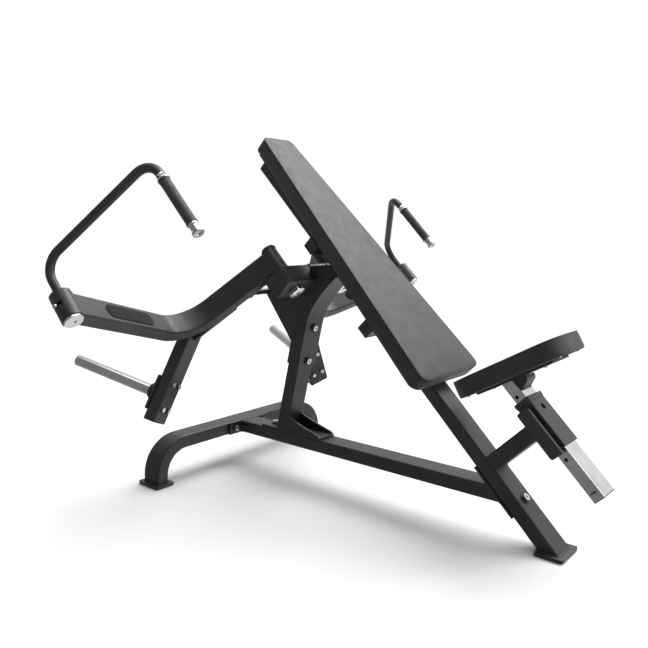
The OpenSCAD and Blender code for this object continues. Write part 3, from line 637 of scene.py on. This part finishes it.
def cushion(name, node, body, half, spine, matrix, thickness, crown):
    """A foam cushion in a sewn vinyl cover: a crowned face, a welted edge and a cloth-backed base."""
    outline = whole_outline(half)
    low, high = spine
    centres = [Vector((max(low, min(high, p.x)), 0)) for p in outline]
    bm = bmesh.new()
    rings = []

    def add_ring(points, heights):
        rings.append([bm.verts.new((p.x, p.y, h)) for p, h in zip(points, heights)])

    # Base, from the middle out to its edge, then the sides, the edge and the crowned face
    tucked = offset_outline(outline, 0.004)
    for t in (1.0, 0.7, 0.4, 0.14):
        add_ring([p.lerp(c, t) for p, c in zip(tucked, centres)], [0.0] * len(outline))
    add_ring(tucked, [0.0] * len(outline))
    add_ring(offset_outline(outline, 0.0008), [0.0026] * len(outline))
    base_count = sum(len(ring) for ring in rings)
    rows = max(4, round(thickness / 0.008))
    for i in range(1, rows):
        t = i / rows
        belly = 0.0012 * math.sin(math.pi * t)
        height = 0.0026 + (thickness - 0.0070) * t
        add_ring(offset_outline(outline, -belly + 0.0006),
                 [height + 0.0003 * noise.noise(Vector((p.x * 30, p.y * 30, t))) for p in outline])
    add_ring(offset_outline(outline, 0.0004), [thickness - 0.0042] * len(outline))
    seam = len(rings)
    add_ring(offset_outline(outline, 0.0014), [thickness - 0.0016] * len(outline))
    edge = offset_outline(outline, 0.0042)
    add_ring(edge, [thickness] * len(outline))
    for t in (0.03, 0.07, 0.12, 0.18, 0.25, 0.33, 0.41, 0.50, 0.59, 0.68, 0.77, 0.86, 0.94, 1.0):
        points = [p.lerp(c, t) for p, c in zip(edge, centres)]
        heights = []
        for p, q in zip(points, edge):
            lift = crown * (1 - math.exp(-(p - q).length / 0.038))
            heights.append(thickness + lift + 0.0005 * noise.noise(Vector((p.x * 8, p.y * 8, 0.3))))
        add_ring(points, heights)
    join_rings(bm, rings, closed_ends=False)
    for face in bm.faces:
        if all(v.co.z < 0.0001 for v in face.verts):
            face.material_index = 1
    order = {v: i for i, v in enumerate(v for ring in rings for v in ring)}
    seam_index = [order[v] for v in rings[seam]]
    below_index = [order[v] for v in rings[seam - 2]]
    mesh = bpy.data.meshes.new(name)
    bm.to_mesh(mesh)
    bm.free()
    mesh.materials.append(MATERIALS["cushion_vinyl"])
    mesh.materials.append(MATERIALS["board_black"])
    made = bpy.data.objects.new(name, mesh)
    scene.collection.objects.link(made)
    mesh.transform(matrix)
    settle_cloth(made, base_count, 0.0030)
    seam_path = [mesh.vertices[i].co.copy() for i in seam_index]
    stitch_path = [mesh.vertices[i].co.copy() for i in below_index]
    bm = bmesh.new()
    bm.from_mesh(mesh)
    bmesh.ops.remove_doubles(bm, verts=bm.verts, dist=2e-5)
    bmesh.ops.recalc_face_normals(bm, faces=bm.faces)
    bm.to_mesh(mesh)
    bm.free()
    fine = made.modifiers.new("Fine", "SUBSURF")
    fine.levels = fine.render_levels = 1
    for face in mesh.polygons:
        face.use_smooth = True
    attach(made, body)
    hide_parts(node)
    seams(name, body, seam_path, stitch_path, matrix)


def seams(name, body, seam_path, stitch_path, matrix):
    """The welt along the face's edge and a row of stitches beside it."""
    bm = bmesh.new()
    tube_along(bm, spaced(seam_path, 0.006, True), 0.0019, True)
    finish_piece(bm, name + "_welt", PIPING, body)
    middle = sum(stitch_path, Vector()) / len(stitch_path)
    out = matrix.to_3x3().col[2]
    path = []
    for point in stitch_path:
        away = point - middle
        away = (away - out * away.dot(out)).normalized()
        path.append(point + away * 0.0003 + out * 0.001)
    path = spaced(path, 0.0016, True)
    bm = bmesh.new()
    for start in range(0, len(path) - 3, 4):
        tube_along(bm, path[start:start + 3], 0.0006, False, sides=5)
    finish_piece(bm, name + "_stitches", THREAD, body)


def slab_depth(node):
    """How far a slab on the incline starts and ends out of the tube's front face."""
    depths = [(v.co - incline(0, 0, 0)).dot(OUT) for v in nodes[node].data.vertices]
    return min(depths), max(depths)


def backrest():
    low, length, wide, narrow = 0.722, 1.267, 0.400, 0.170
    half = half_outline(low, low + length, wide / 2, narrow / 2, 0.034, 0.022, 0.002, 0.0080)
    base, face = slab_depth("backrest_pad")
    matrix = frame_matrix(incline(base, 0, 0), UP_INCLINE, -ACROSS, OUT)
    spine = (low + 0.14, low + length - 0.07)
    cushion("backrest_cushion", "backrest_pad", "frame", half, spine, matrix, face - base, 0.0035)


def seat_frame():
    """Frame of the seat: X forward along it, Y to the left, Z out of its face."""
    rise = math.radians(29.5)
    ahead = Vector((math.cos(rise), 0, math.sin(rise)))
    return frame_matrix(incline(0.102, 0, 0.611), ahead, ACROSS, ahead.cross(ACROSS))


def seat():
    length, wide, narrow, thick, crown = 0.405, 0.340, 0.250, 0.0620, 0.0050
    half = half_outline(0, length, wide / 2, narrow / 2, 0.060, 0.088, 0.006, 0.0070)
    cushion("seat_cushion", "seat_pad", "seat", half, (0.13, length - 0.10), seat_frame(), thick, crown)


# ---------------------------------------------------------------- grips


def grip_matrix(side):
    """Frame of a grip: origin at its middle, Z towards the handle's corner."""
    low, high = (Vector(v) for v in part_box(side + "_grip"))
    return frame_matrix((low + high) / 2, OUT, ACROSS, UP_INCLINE)


def grips():
    """Ribbed rubber sleeves: a lip at each end and shallow rings along the hand's width."""
    half, radius, bore, lip = 0.0970, 0.0180, 0.0163, 0.0198
    rib_height, points, first = 0.0007, 120, 0.011
    end = [(bore, half), (0.0192, half), (lip, half - 0.002), (lip, half - 0.005), (radius, half - 0.008)]
    for side in SIDES:
        profile = [(r, -height) for r, height in end]
        for i in range(points + 1):
            height = first - half + 2 * (half - first) * i / points
            profile.append((radius + rib_height * max(0.0, math.sin(math.pi / 2 * (i % 4))), height))
        profile += reversed(end)
        bm = bmesh.new()
        lathe(bm, profile, grip_matrix(side), 56)
        made = finish_piece(bm, f"grip_sleeve_{side}", MATERIALS["grip_rubber"], side + "_handle")
        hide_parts(side + "_grip")


def grip_collars():
    """A bright collar where the bar leaves each grip: a flange and a short sleeve above it."""
    start, bore, sleeve = 0.0975, 0.0161, 0.0176
    profile = [(bore, 0.0225), (0.0172, 0.0225), (sleeve, 0.0218), (sleeve, 0.0062), (0.0200, 0.0060),
               (0.0212, 0.0050), (0.0214, 0.0034), (0.0214, 0.0012), (0.0208, 0.0002), (bore, 0.0002)]
    for side in SIDES:
        bm = bmesh.new()
        lathe(bm, [(radius, start + height) for radius, height in profile], grip_matrix(side), 56)
        finish_piece(bm, f"grip_collar_{side}", MATERIALS["chrome_plate"], side + "_handle")


# ---------------------------------------------------------------- small trim


def stadium(bm, place, length, width, levels):
    """A flat plate with round ends; each level is (inset, height)."""
    rings = []
    for inset, level in levels:
        half = width / 2 - inset
        ring = []
        for end in (1, -1):
            for i in range(13):
                turn = -math.pi / 2 + math.pi * i / 12
                along = end * ((length - width) / 2 + half * math.cos(turn))
                ring.append(bm.verts.new(place @ Vector((along, end * half * math.sin(turn), level))))
        rings.append(ring)
    join_rings(bm, rings)


def badges():
    """A blank enamel badge on the outer stretch of each arm."""
    length, height, thick, rim, from_sleeve = 0.262, 0.062, 0.0022, 0.0042, 0.300
    for side, sign in SIDES.items():
        sleeve = sleeve_matrix(side)
        toward_arm = sleeve.col[0].to_3d()
        face = OUT * math.cos(ARM_FALL) - ACROSS * sign * math.sin(ARM_FALL)
        origin = sleeve.translation + toward_arm * from_sleeve + face * (TUBE_T / 2 - 0.0002)
        place = frame_matrix(origin, toward_arm, face.cross(toward_arm), face)
        bm = bmesh.new()
        stadium(bm, place, length, height, [(0.0, 0.0), (0.0, thick - 0.0007), (0.0007, thick)])
        stadium(bm, place, length - 2 * rim, height - 2 * rim,
                [(0.0, thick - 0.0004), (0.0004, thick + 0.0006)])
        finish_piece(bm, f"badge_{side}", BADGE, side + "_arm", smooth=False)


def post_slot():
    """The dark insert of the stop slot near the seat post's lower end."""
    plug = nodes["seat_post_plug"].data.vertices
    bottom = min((v.co - incline(0, 0, 0)).dot(UP_INCLINE) for v in plug)
    place = frame_matrix(incline(0.244, -0.0469, bottom + 0.030), OUT, UP_INCLINE, -ACROSS)
    bm = bmesh.new()
    stadium(bm, place, 0.024, 0.006, [(0.0, 0.0), (0.0, 0.0003), (0.0005, 0.0006)])
    finish_piece(bm, "post_slot_insert", MATERIALS["rubber_black"], "seat", smooth=False)


def rail_plugs():
    """Plastic plugs in the open ends of the backrest's rails."""
    rail_middle = -0.026
    levels = ((0.0225, -0.010), (0.0225, 0.0), (0.0258, 0.0001), (0.0258, 0.0022), (0.0240, 0.0036))
    for side, sign in SIDES.items():
        for label, (s, reach, _) in RAILS.items():
            bm = bmesh.new()
            rings = []
            for half, depth in levels:
                centre = incline(rail_middle, sign * (reach + depth), s)
                corners = rectangle(centre, OUT, half, UP_INCLINE, half)
                rings.append([bm.verts.new(p) for p in rounded_path(corners, 0.004, 3)])
            join_rings(bm, rings)
            finish_piece(bm, f"rail_plug_{label}_{side}", MATERIALS["rubber_black"], "frame")


def screw(bm, place, radius=0.0055):
    """A domed screw head, pointing along the matrix's Z."""
    lathe(bm, [(radius, -0.001), (radius, 0.0012), (radius * 0.86, 0.0028), (radius * 0.5, 0.0036),
               (radius * 0.2, 0.0038)], place, 20)


def board_screws():
    """Screws that hold the boards: four through the seat's plate, four beside it and one in each rail."""
    bm = bmesh.new()
    base = seat_frame()
    turned = Matrix.Rotation(math.pi, 4, "X")
    for x in (0.107, 0.254):
        for y in (-0.060, 0.060):
            screw(bm, base @ Matrix.Translation((x, y, -0.0078)) @ turned, 0.0080)
    for x, reach in ((0.022, 0.095), (0.372, 0.076)):
        for y in (-reach, reach):
            screw(bm, base @ Matrix.Translation((x, y, 0.0002)) @ turned)
    finish_piece(bm, "seat_screws", MATERIALS["zinc_fastener"], "seat")
    bm = bmesh.new()
    for s, _, reach in RAILS.values():
        for sign in (-1, 1):
            screw(bm, frame_matrix(incline(-0.0522, sign * reach, s), ACROSS, UP_INCLINE, -OUT), 0.0085)
    finish_piece(bm, "rail_screws", MATERIALS["zinc_fastener"], "frame")


# ---------------------------------------------------------------- studio


def camera():
    """The photograph's view: from the front right, a little above the pivots."""
    data = bpy.data.cameras.new("Camera")
    data.lens = 38.2
    data.sensor_width = 36
    data.shift_x = 0.0023
    data.shift_y = 0.0006
    made = bpy.data.objects.new("Camera", data)
    scene.collection.objects.link(made)
    made.location = (FRONT_X + 0.7799, -2.1921, 1.0982)
    view = Vector((-0.64114, 0.75443, -0.14062))
    made.rotation_euler = view.to_track_quat("-Z", "Y").to_euler()
    scene.camera = made


def area_light(name, place, target, size, power):
    data = bpy.data.lights.new(name, "AREA")
    data.shape = "RECTANGLE"
    data.size = data.size_y = size
    data.energy = power
    made = bpy.data.objects.new(name, data)
    scene.collection.objects.link(made)
    made.location = place
    made.rotation_euler = (Vector(target) - Vector(place)).to_track_quat("-Z", "Y").to_euler()


def high_light():
    """A broad sun from high behind the object, which gives the soft shadow on the floor."""
    data = bpy.data.lights.new("high_light", "SUN")
    data.energy = 2.55
    data.angle = math.radians(46)
    made = bpy.data.objects.new("high_light", data)
    scene.collection.objects.link(made)
    made.rotation_euler = Vector((-0.08, -0.56, -0.82)).to_track_quat("-Z", "Y").to_euler()


def room():
    """A white backdrop, with light that falls off from behind the object to a dark room in front of it."""
    world = bpy.data.worlds.new("Studio")
    world.use_nodes = True
    tree = world.node_tree
    sky = tree.nodes["Background"]
    sky.inputs["Color"].default_value = (1, 1, 1, 1)
    seen = tree.nodes.new("ShaderNodeLightPath")
    place = tree.nodes.new("ShaderNodeTexCoord")
    axes = tree.nodes.new("ShaderNodeSeparateXYZ")
    fade = tree.nodes.new("ShaderNodeMapRange")
    fade.inputs["From Min"].default_value = -0.5
    fade.inputs["From Max"].default_value = 0.7
    fade.inputs["To Min"].default_value = 0.20
    fade.inputs["To Max"].default_value = 0.85
    level = tree.nodes.new("ShaderNodeMapRange")
    level.inputs["To Max"].default_value = 1.0
    tree.links.new(place.outputs["Generated"], axes.inputs["Vector"])
    tree.links.new(axes.outputs["Y"], fade.inputs["Value"])
    tree.links.new(fade.outputs["Result"], level.inputs["To Min"])
    tree.links.new(seen.outputs["Is Camera Ray"], level.inputs["Value"])
    tree.links.new(level.outputs["Result"], sky.inputs["Strength"])
    scene.world = world
    scene.view_settings.view_transform = "Standard"


def studio_floor():
    """A pale floor that gives light to the object but doesn't show in its bright parts."""
    bpy.ops.mesh.primitive_plane_add(size=60, location=(0, 0, -0.0005))
    floor = bpy.context.object
    floor.name = "floor"
    floor.visible_glossy = False
    ground = Surface("studio_floor", (0.9, 0.9, 0.9), 0.8)
    mottle = ground.ramp(ground.noise(2.5, 4), 0, 1)
    ground.color(ground.blend(mottle, (0.95, 0.95, 0.95), (0.97, 0.97, 0.97)))
    floor.data.materials.append(ground.material)


coat_nodes()
coat_upper_caps()
blacken_washers()
camera()
room()
high_light()
area_light("overhead", (-0.3, -0.5, 4.2), (0, 0, 0.4), 3.0, 40)
area_light("front_softbox", (3.6, 0.4, 2.0), (0.3, 0, 0.7), 1.8, 22)
studio_floor()
frame_welds()
sleeve_welds()
backrest()
seat()
grips()
grip_collars()
badges()
post_slot()
rail_plugs()
board_screws()
